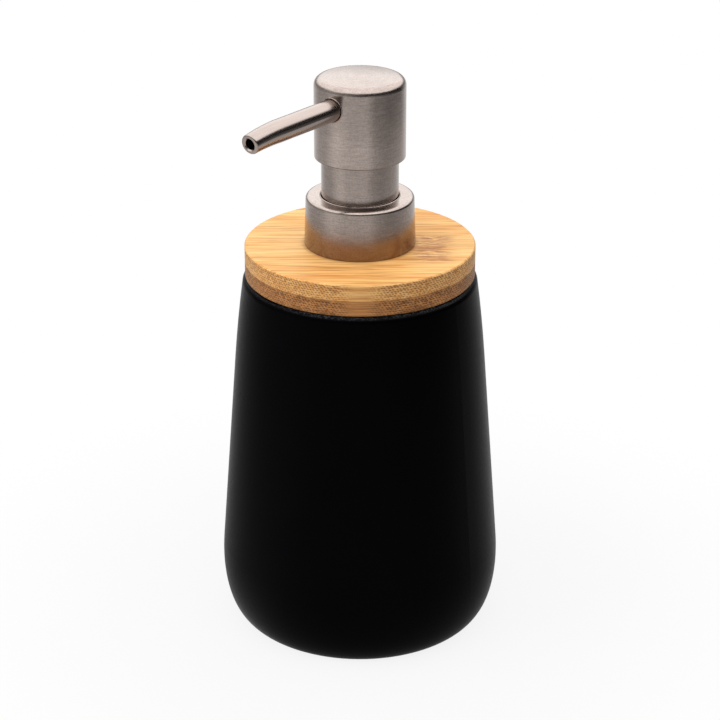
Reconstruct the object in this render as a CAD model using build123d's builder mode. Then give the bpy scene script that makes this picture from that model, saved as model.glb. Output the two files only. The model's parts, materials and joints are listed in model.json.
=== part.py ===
from build123d import *
from math import cos, radians, sin, sqrt
import os

# Soap pump dispenser, in millimetres.
# +Z is up, the origin is the middle of the foot, and the spout points along -Y.
# A laminated lid plugs the bottle, and a screw-on lotion pump hangs in the lid.

# Bottle
bottle_height = 105.0
flank_foot_radius = 41.7
flank_rim_radius = 33.3
rim_radius = 32.5
shoulder_drop = 24.5
corner_width = 8.8
corner_height = 22.9
bottle_wall = 4.2
bottle_floor = 5.0
rim_land = 4.2
rim_round = 2.2
mouth_edge = 0.6
inner_corner_round = 9.0
throat_depth = 9.0
foot_land = 5.0
foot_recess = 1.2

# Lid
lid_inset = 0.5
layer_thickness = 4.5
lid_edge = 0.35
plug_depth = 5.0
plug_gap = 1.1
groove_height = 2.8
groove_depth = 1.4
seal_gap = 0.1
seal_lip_height = 1.0

# Threaded neck of the lid and the closure on it
neck_radius = 13.45
neck_wall = 2.6
neck_height = 8.05
neck_lead_in = 0.4
insert_flange_width = 3.6
insert_flange_thickness = 1.8
gasket_thickness = 1.2
thread_gap = 0.15
cap_wall = 0.85
cap_roof = 1.5
collar_wall = 0.45
collar_flare = 0.5
collar_round = 1.0
collar_edge = 0.25

# Fixed neck of the pump
sleeve_inset = 2.81
sleeve_wall = 0.4
sleeve_edge = 0.3
chaplet_wall = 1.3
chaplet_flange = 1.4
chaplet_ring_depth = 3.0
chaplet_ring_wall = 1.0
guide_wall = 1.4

# Pump cylinder, valves and suction tube
stroke = 10.5
chamber_radius = 6.2
housing_wall = 1.2
housing_flange = 1.4
vent_radius = 0.5
inlet_ball_radius = 2.4
inlet_ball_lift = 1.4
ball_room = 0.6
stop_lip_width = 0.5
stop_lip_height = 1.2
stop_slot_width = 1.4
stop_slots = 4
seat_land = 0.2
seat_throat = 1.0
dip_radius = 2.9
dip_wall = 0.8
dip_socket_depth = 10.0
dip_gap = 3.5
dip_cut_angle = 35.0
tail_wall = 1.3

# Piston, stem and spring
stem_radius = 2.9
stem_shoulder_width = 1.0
stem_shoulder_height = 1.2
piston_height = 7.5
piston_hub_wall = 1.0
piston_lip = 0.7
piston_waist = 0.8
piston_web = 1.6
outlet_ball_radius = 1.9
outlet_ball_lift = 0.9
outlet_room = 0.3
retainer_flange = 1.2
retainer_spigot = 5.0
retainer_plug_depth = 5.0
retainer_plug_wall = 0.8
wire_diameter = 0.9
spring_turns = 7
spring_pressed_length = 13.5
spring_gap = 0.6

# Head and spout
head_overhang = 1.86
head_round = 2.2
head_edge = 0.3
head_wall = 0.5
head_rest_gap = 0.6
head_stop_gap = 0.67
neck_overlap = 0.9
core_web = 0.85
core_skirt_wall = 0.9
core_skirt_rise = 1.2
boss_depth = 7.5
boss_wall = 1.7
socket_depth = 8.6
ball_stop_width = 0.8
spout_cover = 3.32
spout_radius = 3.08
spout_tip_radius = 2.68
spout_hole_gap = 0.28
spout_bore_radius = 1.5
spout_reach = 45.7
spout_straight = 35.0
spout_bend_angle = 8.5
spout_seat_radius = 5.5
spout_lip_round = 0.5
spout_bore_chamfer = 0.3

# Clearances: pressed pieces, sliding fits, and pieces that pass each other
press_gap = 0.03
running_gap = 0.05
free_gap = 0.2
seat_gap = 0.02

# Heights of the lid and of the stack that the closure clamps
rim_z = bottle_height
layer_joint_z = rim_z + layer_thickness
lid_top_z = layer_joint_z + layer_thickness
plug_bottom_z = rim_z - plug_depth
neck_top_z = lid_top_z + neck_height
gasket_top_z = neck_top_z + gasket_thickness
housing_top_z = gasket_top_z + housing_flange
chaplet_floor_z = housing_top_z + chaplet_flange
roof_top_z = chaplet_floor_z + cap_roof
collar_top_z = roof_top_z + collar_wall

# Heights of the head, which needs its stroke above the collar
head_bottom_z = collar_top_z + head_rest_gap + stroke
sleeve_top_z = head_bottom_z + neck_overlap
core_bottom_z = sleeve_top_z + head_stop_gap + stroke
spout_z = core_bottom_z + core_web + spout_radius
head_top_z = spout_z + spout_radius + spout_cover
core_top_z = head_top_z - head_wall - press_gap
skirt_bottom_z = head_bottom_z + core_skirt_rise
boss_bottom_z = core_bottom_z - boss_depth
stem_top_z = boss_bottom_z + socket_depth
guide_top_z = boss_bottom_z - stroke - head_stop_gap

# Heights inside the cylinder, from the piston's upper stop down to the suction tube
piston_top_z = housing_top_z - chaplet_ring_depth
piston_bottom_z = piston_top_z - piston_height
spring_top_z = piston_bottom_z - retainer_flange
chamber_floor_z = spring_top_z - stroke - spring_pressed_length
stop_lip_z = chamber_floor_z - stop_lip_height
inlet_ball_z = stop_lip_z - inlet_ball_lift - inlet_ball_radius - seat_gap
outlet_ball_z = stem_top_z - outlet_ball_lift - outlet_ball_radius - seat_gap

# Radii that follow from the fits
mouth_radius = rim_radius - rim_land
lid_radius = rim_radius - lid_inset
lid_hole_radius = neck_radius + press_gap
plug_radius = mouth_radius - plug_gap
groove_radius = plug_radius - groove_depth
neck_bore_radius = neck_radius - neck_wall
cap_bore_radius = neck_radius + thread_gap
cap_top_radius = cap_bore_radius + cap_wall
cap_foot_radius = cap_top_radius + collar_flare
sleeve_radius = neck_radius - sleeve_inset
roof_hole_radius = sleeve_radius + free_gap
chaplet_radius = sleeve_radius - sleeve_wall - press_gap
flange_radius = cap_bore_radius - free_gap
barrel_radius = chamber_radius + housing_wall
pocket_radius = inlet_ball_radius + ball_room
valve_radius = pocket_radius + housing_wall
tail_radius = dip_radius + press_gap + tail_wall
piston_radius = chamber_radius - running_gap
spring_radius = chamber_radius - spring_gap - wire_diameter / 2
outlet_pocket_radius = outlet_ball_radius + outlet_room
head_radius = sleeve_radius + head_overhang
spout_plane = Plane(origin=(0, 0, spout_z), x_dir=(1, 0, 0), z_dir=(0, -1, 0))

# A ball on a 45 degree seat touches it on a circle of this share of its radius.
SEAT_SHARE = sqrt(0.5)
# Flats of the spring's wire, in place of a round section.
WIRE_SIDES = 6
# Control length of a cubic curve that follows a quarter ellipse.
QUARTER = 4 / 3 * (sqrt(2) - 1)

os.makedirs("parts", exist_ok=True)


def flank_radius(z):
    """Radius of the bottle's straight flank at a height."""
    return flank_foot_radius + (flank_rim_radius - flank_foot_radius) * z / bottle_height


def quarter_curve(start, corner, end):
    """Quarter of a slanted ellipse that leaves start and reaches end along the sides of a corner."""
    start, corner, end = Vector(start), Vector(corner), Vector(end)
    return Bezier(start, start + (corner - start) * QUARTER, end + (corner - end) * QUARTER, end)


def seat_drop(ball_radius):
    """How far below a ball's centre its 45 degree seat touches it."""
    return ball_radius * SEAT_SHARE


def corner_at(profile, radius, z):
    """The corner of a turned piece's half section at a radius and a height."""
    return profile.vertices().sort_by_distance((radius, z))[0]


def outer_edge(disc, end):
    """The largest circle at the bottom (0) or the top (-1) of a disc."""
    return disc.edges().group_by(Axis.Z)[end].sort_by(SortBy.RADIUS)[-1]


def save(piece, name):
    """Label a finished piece and write it."""
    piece.part.label = name
    export_step(piece.part, f"parts/{name}.step")


# Bottle: one turned profile, from the recessed foot up the outside, over the rim and down the inside.
shoulder_z = bottle_height - shoulder_drop
throat_z = rim_z - throat_depth
foot_radius = flank_foot_radius - corner_width
floor_radius = flank_radius(bottle_floor) - bottle_wall
recess_radius = foot_radius - foot_land
with BuildPart() as bottle:
    with BuildSketch(Plane.XZ) as bottle_section:
        with BuildLine():
            foot = Polyline(
                (0, foot_recess),
                (recess_radius - foot_recess, foot_recess),
                (recess_radius, 0),
                (foot_radius, 0),
            )
            corner_end = (flank_radius(corner_height), corner_height)
            corner = quarter_curve(foot @ 1, (flank_foot_radius, 0), corner_end)
            flank = Line(corner @ 1, (flank_radius(shoulder_z), shoulder_z))
            shoulder = TangentArc(flank @ 1, (rim_radius, rim_z), tangent=flank % 1)
            Polyline(
                shoulder @ 1,
                (mouth_radius, rim_z),
                (mouth_radius, throat_z),
                (flank_radius(shoulder_z) - bottle_wall, shoulder_z),
                (floor_radius, bottle_floor),
                (0, bottle_floor),
                (0, foot_recess),
            )
        make_face()
        fillet(corner_at(bottle_section, floor_radius, bottle_floor), inner_corner_round)
        fillet(corner_at(bottle_section, rim_radius, rim_z), rim_round)
        chamfer(corner_at(bottle_section, mouth_radius, rim_z), mouth_edge)
    revolve(axis=Axis.Z)
save(bottle, "bottle")

# Lid: two visible bamboo layers of one diameter, with an eased top edge.
with BuildPart() as lid_top_layer:
    with BuildSketch(Plane.XY.offset(layer_joint_z)):
        Circle(lid_radius)
        Circle(lid_hole_radius, mode=Mode.SUBTRACT)
    extrude(amount=layer_thickness)
    chamfer(outer_edge(lid_top_layer, -1), lid_edge)
save(lid_top_layer, "lid_top_layer")

with BuildPart() as lid_lower_layer:
    with BuildSketch(Plane.XY.offset(rim_z)):
        Circle(lid_radius)
        Circle(lid_hole_radius, mode=Mode.SUBTRACT)
    extrude(amount=layer_thickness)
    chamfer(outer_edge(lid_lower_layer, 0), lid_edge)
save(lid_lower_layer, "lid_lower_layer")

# Third layer, turned down to a plug with a groove for its seal.
groove_bottom_z = plug_bottom_z + (plug_depth - groove_height) / 2
groove_top_z = groove_bottom_z + groove_height
with BuildPart() as lid_plug:
    with BuildSketch(Plane.XZ):
        with BuildLine():
            Polyline(
                (lid_hole_radius, plug_bottom_z),
                (plug_radius, plug_bottom_z),
                (plug_radius, groove_bottom_z),
                (groove_radius, groove_bottom_z),
                (groove_radius, groove_top_z),
                (plug_radius, groove_top_z),
                (plug_radius, rim_z),
                (lid_hole_radius, rim_z),
                close=True,
            )
        make_face()
    revolve(axis=Axis.Z)
save(lid_plug, "lid_plug")

# Silicone ring: a band that fills the groove, with two lips that wipe the bottle's mouth.
with BuildPart() as lid_seal:
    with BuildSketch(Plane.XZ):
        with BuildLine():
            Polyline(
                (groove_radius + press_gap, groove_bottom_z + press_gap),
                (plug_radius, groove_bottom_z + press_gap),
                (mouth_radius - seal_gap, groove_bottom_z + seal_lip_height),
                (plug_radius, groove_bottom_z + groove_height / 2),
                (mouth_radius - seal_gap, groove_top_z - press_gap),
                (plug_radius, groove_top_z - press_gap),
                (groove_radius + press_gap, groove_top_z - press_gap),
                close=True,
            )
        make_face()
    revolve(axis=Axis.Z)
save(lid_seal, "lid_seal")

# Threaded neck: its flange holds it under the plug, and its barrel stands above the lid.
with BuildPart() as neck_insert:
    with BuildSketch(Plane.XZ) as insert_section:
        with BuildLine():
            Polyline(
                (neck_bore_radius, plug_bottom_z - insert_flange_thickness),
                (neck_radius + insert_flange_width, plug_bottom_z - insert_flange_thickness),
                (neck_radius + insert_flange_width, plug_bottom_z),
                (neck_radius, plug_bottom_z),
                (neck_radius, neck_top_z),
                (neck_bore_radius, neck_top_z),
                close=True,
            )
        make_face()
        chamfer(corner_at(insert_section, neck_radius, neck_top_z), neck_lead_in)
    revolve(axis=Axis.Z)
save(neck_insert, "neck_insert")

with BuildPart() as neck_gasket:
    with BuildSketch(Plane.XY.offset(neck_top_z)):
        Circle(flange_radius)
        Circle(neck_bore_radius, mode=Mode.SUBTRACT)
    extrude(amount=gasket_thickness)
save(neck_gasket, "neck_gasket")

# Closure: a plastic cap that flares a little to its foot, with a roof that clamps the chaplet.
with BuildPart() as closure_cap:
    with BuildSketch(Plane.XZ) as cap_section:
        with BuildLine():
            Polyline(
                (cap_bore_radius, lid_top_z),
                (cap_foot_radius, lid_top_z),
                (cap_top_radius, roof_top_z),
                (roof_hole_radius, roof_top_z),
                (roof_hole_radius, chaplet_floor_z),
                (cap_bore_radius, chaplet_floor_z),
                close=True,
            )
        make_face()
        chamfer(corner_at(cap_section, cap_top_radius, roof_top_z), collar_round - collar_wall)
    revolve(axis=Axis.Z)
save(closure_cap, "closure_cap")

# Metal skin over the cap, with a rounded shoulder, an eased foot and a hole for the neck.
skin_inner = press_gap
skin_outer = press_gap + collar_wall
with BuildPart() as collar_shell:
    with BuildSketch(Plane.XZ) as collar_section:
        with BuildLine():
            Polyline(
                (cap_foot_radius + skin_inner, lid_top_z),
                (cap_foot_radius + skin_outer, lid_top_z),
                (cap_top_radius + skin_outer, collar_top_z),
                (roof_hole_radius, collar_top_z),
                (roof_hole_radius, roof_top_z),
                (cap_top_radius + skin_inner, roof_top_z),
                close=True,
            )
        make_face()
        inner_corner = corner_at(collar_section, cap_top_radius + skin_inner, roof_top_z)
        chamfer(inner_corner, collar_round - collar_wall)
        fillet(corner_at(collar_section, cap_top_radius + skin_outer, collar_top_z), collar_round)
        fillet(corner_at(collar_section, cap_foot_radius + skin_outer, lid_top_z), collar_edge)
    revolve(axis=Axis.Z)
save(collar_shell, "collar_shell")

# Chaplet: a flange under the closure's roof, a tube for the sleeve, a guide for the stem
# and a ring that plugs the cylinder and stops the piston.
guide_radius = stem_radius + running_gap
ring_radius = chamber_radius - press_gap
with BuildPart() as chaplet:
    with BuildSketch(Plane.XZ):
        with BuildLine():
            Polyline(
                (flange_radius, housing_top_z),
                (flange_radius, chaplet_floor_z),
                (chaplet_radius, chaplet_floor_z),
                (chaplet_radius, sleeve_top_z - sleeve_wall),
                (chaplet_radius - chaplet_wall, sleeve_top_z - sleeve_wall),
                (chaplet_radius - chaplet_wall, chaplet_floor_z),
                (guide_radius + guide_wall, chaplet_floor_z),
                (guide_radius + guide_wall, guide_top_z),
                (guide_radius, guide_top_z),
                (guide_radius, housing_top_z),
                (ring_radius - chaplet_ring_wall, housing_top_z),
                (ring_radius - chaplet_ring_wall, piston_top_z),
                (ring_radius, piston_top_z),
                (ring_radius, housing_top_z),
                close=True,
            )
        make_face()
    revolve(axis=Axis.Z)
save(chaplet, "chaplet")

# Drawn metal sleeve over the chaplet's tube, turned in over its top.
with BuildPart() as neck_sleeve:
    with BuildSketch(Plane.XZ) as sleeve_section:
        with BuildLine():
            Polyline(
                (sleeve_radius - sleeve_wall, chaplet_floor_z),
                (sleeve_radius, chaplet_floor_z),
                (sleeve_radius, sleeve_top_z),
                (chaplet_radius - chaplet_wall, sleeve_top_z),
                (chaplet_radius - chaplet_wall, sleeve_top_z - sleeve_wall),
                (sleeve_radius - sleeve_wall, sleeve_top_z - sleeve_wall),
                close=True,
            )
        make_face()
        chamfer(corner_at(sleeve_section, sleeve_radius, sleeve_top_z), sleeve_edge)
    revolve(axis=Axis.Z)
save(neck_sleeve, "neck_sleeve")

# Pump housing: flange, cylinder, slotted lip that carries the spring and stops the ball,
# valve seat and the tail that holds the suction tube.
inlet_seat_radius = inlet_ball_radius * SEAT_SHARE - seat_land
inlet_seat_z = inlet_ball_z - seat_drop(inlet_ball_radius) - seat_land - seat_gap
socket_top_z = inlet_seat_z - seat_throat
tail_bottom_z = socket_top_z - dip_socket_depth
cone_top_z = stop_lip_z
cone_bottom_z = cone_top_z - (barrel_radius - valve_radius)
with BuildPart() as pump_housing:
    with BuildSketch(Plane.XZ):
        with BuildLine():
            Polyline(
                (chamber_radius, housing_top_z),
                (flange_radius, housing_top_z),
                (flange_radius, gasket_top_z),
                (barrel_radius, gasket_top_z),
                (barrel_radius, cone_top_z),
                (valve_radius, cone_bottom_z),
                (valve_radius, socket_top_z),
                (tail_radius, socket_top_z),
                (tail_radius, tail_bottom_z),
                (dip_radius + press_gap, tail_bottom_z),
                (dip_radius + press_gap, socket_top_z),
                (inlet_seat_radius, socket_top_z),
                (inlet_seat_radius, inlet_seat_z),
                (pocket_radius, inlet_seat_z + pocket_radius - inlet_seat_radius),
                (pocket_radius, stop_lip_z),
                (inlet_ball_radius - stop_lip_width, stop_lip_z),
                (inlet_ball_radius - stop_lip_width, chamber_floor_z),
                (chamber_radius, chamber_floor_z),
                close=True,
            )
        make_face()
    revolve(axis=Axis.Z)
    with BuildSketch(Plane.XY.offset(stop_lip_z)):
        with PolarLocations(inlet_ball_radius, stop_slots):
            Rectangle(2 * (pocket_radius - inlet_ball_radius), stop_slot_width)
    extrude(amount=stop_lip_height, mode=Mode.SUBTRACT)
    with BuildSketch(Plane.YZ):
        with Locations((0, (piston_top_z + piston_bottom_z) / 2)):
            Circle(vent_radius)
    extrude(amount=barrel_radius, mode=Mode.SUBTRACT)
save(pump_housing, "pump_housing")

with BuildPart() as inlet_ball:
    with Locations((0, 0, inlet_ball_z)):
        Sphere(inlet_ball_radius)
save(inlet_ball, "inlet_ball")

# Suction tube, cut on a slant so that it can't seal itself on the bottle's floor.
dip_bottom_z = bottle_floor + dip_gap
with BuildPart() as dip_tube:
    with BuildSketch(Plane.XY.offset(socket_top_z)):
        Circle(dip_radius)
        Circle(dip_radius - dip_wall, mode=Mode.SUBTRACT)
    extrude(amount=dip_bottom_z - socket_top_z)
    cut_dir = (sin(radians(dip_cut_angle)), 0, cos(radians(dip_cut_angle)))
    slant_rise = dip_radius * sin(radians(dip_cut_angle)) / cos(radians(dip_cut_angle))
    split(bisect_by=Plane(origin=(0, 0, dip_bottom_z + slant_rise), z_dir=cut_dir), keep=Keep.TOP)
save(dip_tube, "dip_tube")

# Return spring: a helix of wire with six flats.
coil_bottom_z = chamber_floor_z + wire_diameter / 2
coil_height = spring_top_z - chamber_floor_z - wire_diameter
with BuildPart() as return_spring:
    with BuildLine() as coil:
        Helix(coil_height / spring_turns, coil_height, spring_radius, center=(0, 0, coil_bottom_z))
    with BuildSketch(Plane(coil.line @ 0, z_dir=coil.line % 0)):
        RegularPolygon(wire_diameter / 2, WIRE_SIDES)
    sweep(is_frenet=True)
save(return_spring, "return_spring")

# Piston: a hub on the stem, a web and a waisted skirt with a wiping lip at each end.
hub_radius = guide_radius + piston_hub_wall
waist_radius = piston_radius - piston_waist
web_bottom_z = (piston_top_z + piston_bottom_z - piston_web) / 2
web_top_z = web_bottom_z + piston_web
with BuildPart() as piston_seal:
    with BuildSketch(Plane.XZ):
        with BuildLine():
            Polyline(
                (guide_radius, piston_bottom_z),
                (hub_radius, piston_bottom_z),
                (hub_radius, web_bottom_z),
                (waist_radius - piston_lip, web_bottom_z),
                (piston_radius - piston_lip, piston_bottom_z),
                (piston_radius, piston_bottom_z),
                (waist_radius, web_bottom_z),
                (waist_radius, web_top_z),
                (piston_radius, piston_top_z),
                (piston_radius - piston_lip, piston_top_z),
                (waist_radius - piston_lip, web_top_z),
                (hub_radius, web_top_z),
                (hub_radius, piston_top_z),
                (guide_radius, piston_top_z),
                close=True,
            )
        make_face()
    revolve(axis=Axis.Z)
save(piston_seal, "piston_seal")

# Stem: a hollow rod with a shoulder on the piston, a socket for the retainer below
# and the discharge valve's seat and pocket at its top.
stem_bore_radius = outlet_ball_radius * SEAT_SHARE - seat_land
outlet_seat_z = outlet_ball_z - seat_drop(outlet_ball_radius) - seat_land - seat_gap
plug_outer_radius = stem_bore_radius + retainer_plug_wall
with BuildPart() as pump_stem:
    with BuildSketch(Plane.XZ):
        with BuildLine():
            Polyline(
                (plug_outer_radius + press_gap, piston_bottom_z),
                (stem_radius, piston_bottom_z),
                (stem_radius, piston_top_z),
                (stem_radius + stem_shoulder_width, piston_top_z),
                (stem_radius + stem_shoulder_width, piston_top_z + stem_shoulder_height),
                (stem_radius, piston_top_z + stem_shoulder_height),
                (stem_radius, stem_top_z),
                (outlet_pocket_radius, stem_top_z),
                (outlet_pocket_radius, outlet_seat_z + outlet_pocket_radius - stem_bore_radius),
                (stem_bore_radius, outlet_seat_z),
                (stem_bore_radius, piston_bottom_z + retainer_plug_depth),
                (plug_outer_radius + press_gap, piston_bottom_z + retainer_plug_depth),
                close=True,
            )
        make_face()
    revolve(axis=Axis.Z)
save(pump_stem, "pump_stem")

# Retainer: its plug is pressed into the stem, its flange carries the piston and the spring's top.
spigot_radius = spring_radius - wire_diameter / 2 - free_gap
with BuildPart() as piston_retainer:
    with BuildSketch(Plane.XZ):
        with BuildLine():
            Polyline(
                (stem_bore_radius, spring_top_z - retainer_spigot),
                (spigot_radius, spring_top_z - retainer_spigot),
                (spigot_radius, spring_top_z),
                (spring_radius + wire_diameter / 2, spring_top_z),
                (spring_radius + wire_diameter / 2, piston_bottom_z),
                (plug_outer_radius, piston_bottom_z),
                (plug_outer_radius, piston_bottom_z + retainer_plug_depth),
                (stem_bore_radius, piston_bottom_z + retainer_plug_depth),
                close=True,
            )
        make_face()
    revolve(axis=Axis.Z)
save(piston_retainer, "piston_retainer")

with BuildPart() as outlet_ball:
    with Locations((0, 0, outlet_ball_z)):
        Sphere(outlet_ball_radius)
save(outlet_ball, "outlet_ball")

# Actuator core: a plug with the soap's way from the stem to the spout, a boss on the stem
# and a skirt that slides past the neck. A bar across the way stops the discharge ball.
socket_radius = stem_radius + press_gap
core_radius = head_radius - head_wall - press_gap
core_edge = head_round
with BuildPart() as actuator_core:
    with BuildSketch(Plane.XZ):
        with BuildLine():
            Polyline(
                (0, core_top_z),
                (core_radius - core_edge, core_top_z),
                (core_radius, core_top_z - core_edge),
                (core_radius, skirt_bottom_z),
                (core_radius - core_skirt_wall, skirt_bottom_z),
                (core_radius - core_skirt_wall, core_bottom_z),
                (socket_radius + boss_wall, core_bottom_z),
                (socket_radius + boss_wall, boss_bottom_z),
                (socket_radius, boss_bottom_z),
                (socket_radius, stem_top_z),
                (0, stem_top_z),
                close=True,
            )
        make_face()
    revolve(axis=Axis.Z)
    with BuildSketch(Plane.XY.offset(stem_top_z)):
        Circle(outlet_pocket_radius)
        Rectangle(ball_stop_width, 2 * outlet_pocket_radius, mode=Mode.SUBTRACT)
    extrude(amount=spout_z - stem_top_z, mode=Mode.SUBTRACT)
    with BuildSketch(spout_plane):
        Circle(spout_bore_radius)
    extrude(amount=spout_seat_radius, mode=Mode.SUBTRACT)
    with BuildSketch(spout_plane.offset(spout_seat_radius)):
        Circle(spout_radius + press_gap)
    extrude(amount=head_radius, mode=Mode.SUBTRACT)
save(actuator_core, "actuator_core")

# Head shell: a drawn cup with a soft top edge, an eased foot and a hole for the spout.
with BuildPart() as head_shell:
    with BuildSketch(Plane.XZ) as head_section:
        with BuildLine():
            Polyline(
                (0, head_top_z),
                (head_radius, head_top_z),
                (head_radius, head_bottom_z),
                (head_radius - head_wall, head_bottom_z),
                (head_radius - head_wall, head_top_z - head_wall),
                (0, head_top_z - head_wall),
                close=True,
            )
        make_face()
        inner_corner = corner_at(head_section, head_radius - head_wall, head_top_z - head_wall)
        chamfer(inner_corner, head_round - head_wall)
        fillet(corner_at(head_section, head_radius, head_top_z), head_round)
        fillet(corner_at(head_section, head_radius, head_bottom_z), head_edge)
    revolve(axis=Axis.Z)
    with BuildSketch(spout_plane):
        Circle(spout_radius + spout_hole_gap)
    extrude(amount=2 * head_radius, mode=Mode.SUBTRACT)
save(head_shell, "head_shell")

# Spout: a straight tube out of the core, then a tapering end that bends down a little.
bend_radius = (spout_reach - spout_straight) / sin(radians(spout_bend_angle))
with BuildPart() as spout_tube:
    with BuildLine(Plane.YZ) as route:
        run = Line((-spout_seat_radius, spout_z), (-spout_straight, spout_z))
        bend = JernArc(run @ 1, tangent=run % 1, radius=bend_radius, arc_size=spout_bend_angle)
    with BuildSketch(spout_plane.offset(spout_seat_radius)):
        Circle(spout_radius)
    extrude(amount=spout_straight - spout_seat_radius)
    with BuildSketch(Plane(bend @ 0, z_dir=bend % 0)) as bend_start:
        Circle(spout_radius)
    with BuildSketch(Plane(bend @ 1, z_dir=bend % 1)) as bend_end:
        Circle(spout_tip_radius)
    sweep(sections=[bend_start.sketch, bend_end.sketch], path=bend, multisection=True)
    with BuildSketch(Plane(run @ 0, z_dir=run % 0)) as bore:
        Circle(spout_bore_radius)
    sweep(sections=bore.sketch, path=route.line, mode=Mode.SUBTRACT)
    mouth = spout_tube.faces().sort_by(Axis.Y)[0].edges().sort_by(SortBy.LENGTH)
    chamfer(mouth[0], spout_bore_chamfer)
    fillet(mouth[-1], spout_lip_round)
save(spout_tube, "spout_tube")
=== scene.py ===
import json
import math

import bmesh
import bpy
from bpy.props import FloatProperty, FloatVectorProperty, IntProperty, PointerProperty
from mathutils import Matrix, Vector


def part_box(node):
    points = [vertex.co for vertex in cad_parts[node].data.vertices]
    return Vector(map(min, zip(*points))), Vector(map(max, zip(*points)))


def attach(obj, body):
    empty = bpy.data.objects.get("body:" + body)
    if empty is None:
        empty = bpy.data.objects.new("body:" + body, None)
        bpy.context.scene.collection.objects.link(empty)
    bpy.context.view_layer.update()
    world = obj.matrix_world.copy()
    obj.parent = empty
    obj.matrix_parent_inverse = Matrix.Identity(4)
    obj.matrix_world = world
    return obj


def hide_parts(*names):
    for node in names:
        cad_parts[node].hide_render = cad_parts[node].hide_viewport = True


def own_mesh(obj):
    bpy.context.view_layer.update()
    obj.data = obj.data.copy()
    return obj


bl_info = {
    "name": "Soap Pump Dispenser",
    "version": (1, 0, 0),
    "blender": (4, 5, 0),
    "location": "3D View > Sidebar > Dispenser",
    "description": "Finishes a stoneware soap dispenser with a bamboo lid and a brushed metal pump",
    "category": "Object",
}

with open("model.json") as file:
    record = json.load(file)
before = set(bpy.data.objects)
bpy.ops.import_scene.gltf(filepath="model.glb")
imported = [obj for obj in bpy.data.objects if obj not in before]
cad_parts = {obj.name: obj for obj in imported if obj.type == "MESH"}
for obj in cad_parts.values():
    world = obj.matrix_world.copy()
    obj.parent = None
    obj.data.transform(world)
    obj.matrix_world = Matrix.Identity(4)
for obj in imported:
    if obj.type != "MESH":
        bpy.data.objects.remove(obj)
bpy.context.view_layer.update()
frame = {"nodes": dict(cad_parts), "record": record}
NODES = frame["nodes"]
MM = 0.001
# The bamboo's fibres run this far round from +X.
GRAIN_TURN = math.radians(38.0)
# The camera stands this far round from the spout's side.
VIEW_TURN = math.radians(38.0)
# The studio's floor, in metres.
FLOOR_RADIUS = 6.0


def linear(code):
    """An sRGB hex colour as linear RGBA."""
    shares = [int(code[i : i + 2], 16) / 255 for i in (1, 3, 5)]
    return [s / 12.92 if s <= 0.04045 else ((s + 0.055) / 1.055) ** 2.4 for s in shares] + [1.0]


def per(size):
    """The texture scale at which one feature is that many millimetres."""
    return 1.0 / (size * MM)


def radii(node, low, high):
    """The least and the greatest radius of a turned CAD node's points between two heights."""
    found = [v.co.xy.length for v in NODES[node].data.vertices if low <= v.co.z <= high]
    return min(found), max(found)


def around(turn, rise, distance, centre=Vector((0.0, 0.0, 0.0))):
    """A point at that distance from a centre, turned from the camera's side and raised, in degrees."""
    a, e = VIEW_TURN - math.pi / 2 + math.radians(turn), math.radians(rise)
    return centre + distance * Vector((math.cos(a) * math.cos(e), math.sin(a) * math.cos(e), math.sin(e)))


def add(tree, kind, inputs=None, stops=None, **settings):
    """Add a node. Inputs, by name or number, are values, sockets or nodes; stops fill a ramp."""
    node = tree.nodes.new(kind)
    for key, value in settings.items():
        setattr(node, key, value)
    for key, value in (inputs or {}).items():
        if isinstance(value, bpy.types.Node):
            # A node feeds its first output that is in use.
            value = next(socket for socket in value.outputs if socket.enabled)
        if isinstance(value, bpy.types.NodeSocket):
            tree.links.new(value, node.inputs[key])
        else:
            node.inputs[key].default_value = value
    for i, (place, colour) in enumerate(stops or ()):
        element = node.color_ramp.elements[i] if i < 2 else node.color_ramp.elements.new(place)
        element.position, element.color = place, colour
    return node


def length(name, description, size):
    """A length property whose default is given in millimetres."""
    return FloatProperty(name=name, description=description, default=size * MM, min=0.0, unit="LENGTH")


def number(name, description, value, least):
    """A plain number property with a least value."""
    return FloatProperty(name=name, description=description, default=value, min=least)


def colour(name, description, code):
    """A colour property whose default is given as sRGB hex."""
    return FloatVectorProperty(
        name=name, description=description, default=linear(code), size=4, min=0.0, max=1.0, subtype="COLOR"
    )


LID_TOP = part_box("lid_top_layer")[1].z
NECK_BORE, NECK_CREST = radii("neck_insert", LID_TOP, 1.0)
CAP_BORE = radii("closure_cap", LID_TOP - MM, LID_TOP + MM)[0]
COLLAR_RADIUS = radii("collar_shell", 0.0, 1.0)[1]
HEAD_RADIUS = radii("head_shell", 0.0, 1.0)[1]
SPOUT_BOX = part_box("spout_tube")
SPOUT_RADIUS = SPOUT_BOX[1].x
SPOUT_HEIGHT = SPOUT_BOX[1].z - SPOUT_RADIUS
SPOUT_HOLE = min(
    math.hypot(v.co.x, v.co.z - SPOUT_HEIGHT)
    for v in NODES["head_shell"].data.vertices
    if v.co.y < 0 and v.co.xy.length > HEAD_RADIUS - 0.05 * MM
)
# One turn of the closure lifts it by this much, and the thread has the same pitch.
THREAD_PITCH = 2 * math.pi / frame["record"]["behaviour"]["couplings"][0]["ratio"]
# Both threads begin this far above the lid, and fade out over this share of a turn.
THREAD_FOOT = 1.5 * MM
THREAD_RUN_OUT = 0.12
# The cap's ridge is on the same helix, this share of a turn further round, so it runs under the neck's one.
CAP_THREAD_START = 0.46


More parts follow.
